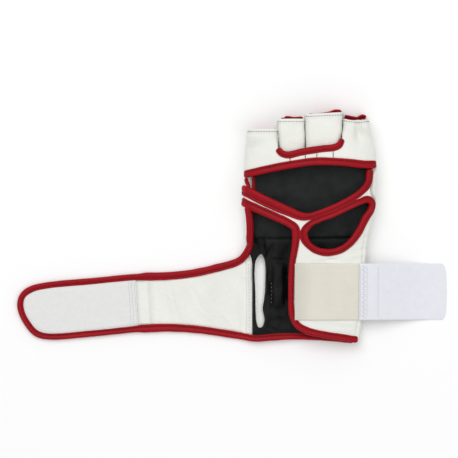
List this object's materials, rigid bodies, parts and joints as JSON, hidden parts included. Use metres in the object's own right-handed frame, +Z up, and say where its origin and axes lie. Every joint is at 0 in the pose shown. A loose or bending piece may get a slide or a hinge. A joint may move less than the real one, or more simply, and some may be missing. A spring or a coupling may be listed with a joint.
{
  "type": "mma glove",
  "caption": "Open-palm grappling glove lying palm up, with finger loops, a thumb hole, red leather bindings, a spread wrist strap and an elastic hook tab.",
  "frame": {"origin": "under the middle of the glove's bounding box, on the surface that its padded back rests on", "axes": "+X from the strap's end towards the thumb side, +Y from the wrist towards the fingers, +Z up out of the palm"},
  "size_m": [0.3862, 0.21, 0.0323],
  "materials": {
    "white_leather": "off-white leather with a fine grain and a soft sheen",
    "red_leather": "red leather binding, smooth and slightly glossy",
    "black_lining": "matt black cloth",
    "loop_patch": "cool white brushed loop tape",
    "cream_elastic": "cream woven elastic with fine ribs",
    "hook_tape": "cool white hook tape with fine ribs"
  },
  "bodies": {
    "root": {"back_panel": "white_leather", "lining": "black_lining", "finger_band": "white_leather", "ring_loop": "white_leather", "middle_loop": "white_leather", "palm_panel": "white_leather", "palm_neck": "white_leather", "strap_panel": "white_leather", "strap_patch": "loop_patch", "elastic_band": "cream_elastic", "hook_tab": "hook_tape", "finger_band_binding": "red_leather", "finger_slot_binding": "red_leather", "palm_opening_binding": "red_leather", "thumb_hole_binding": "red_leather", "wrist_opening_binding": "red_leather", "strap_binding": "red_leather", "little_pad_binding": "red_leather", "ring_pad_binding": "red_leather", "middle_pad_binding": "red_leather", "index_pad_binding": "red_leather"}
  },
  "joints": []
}
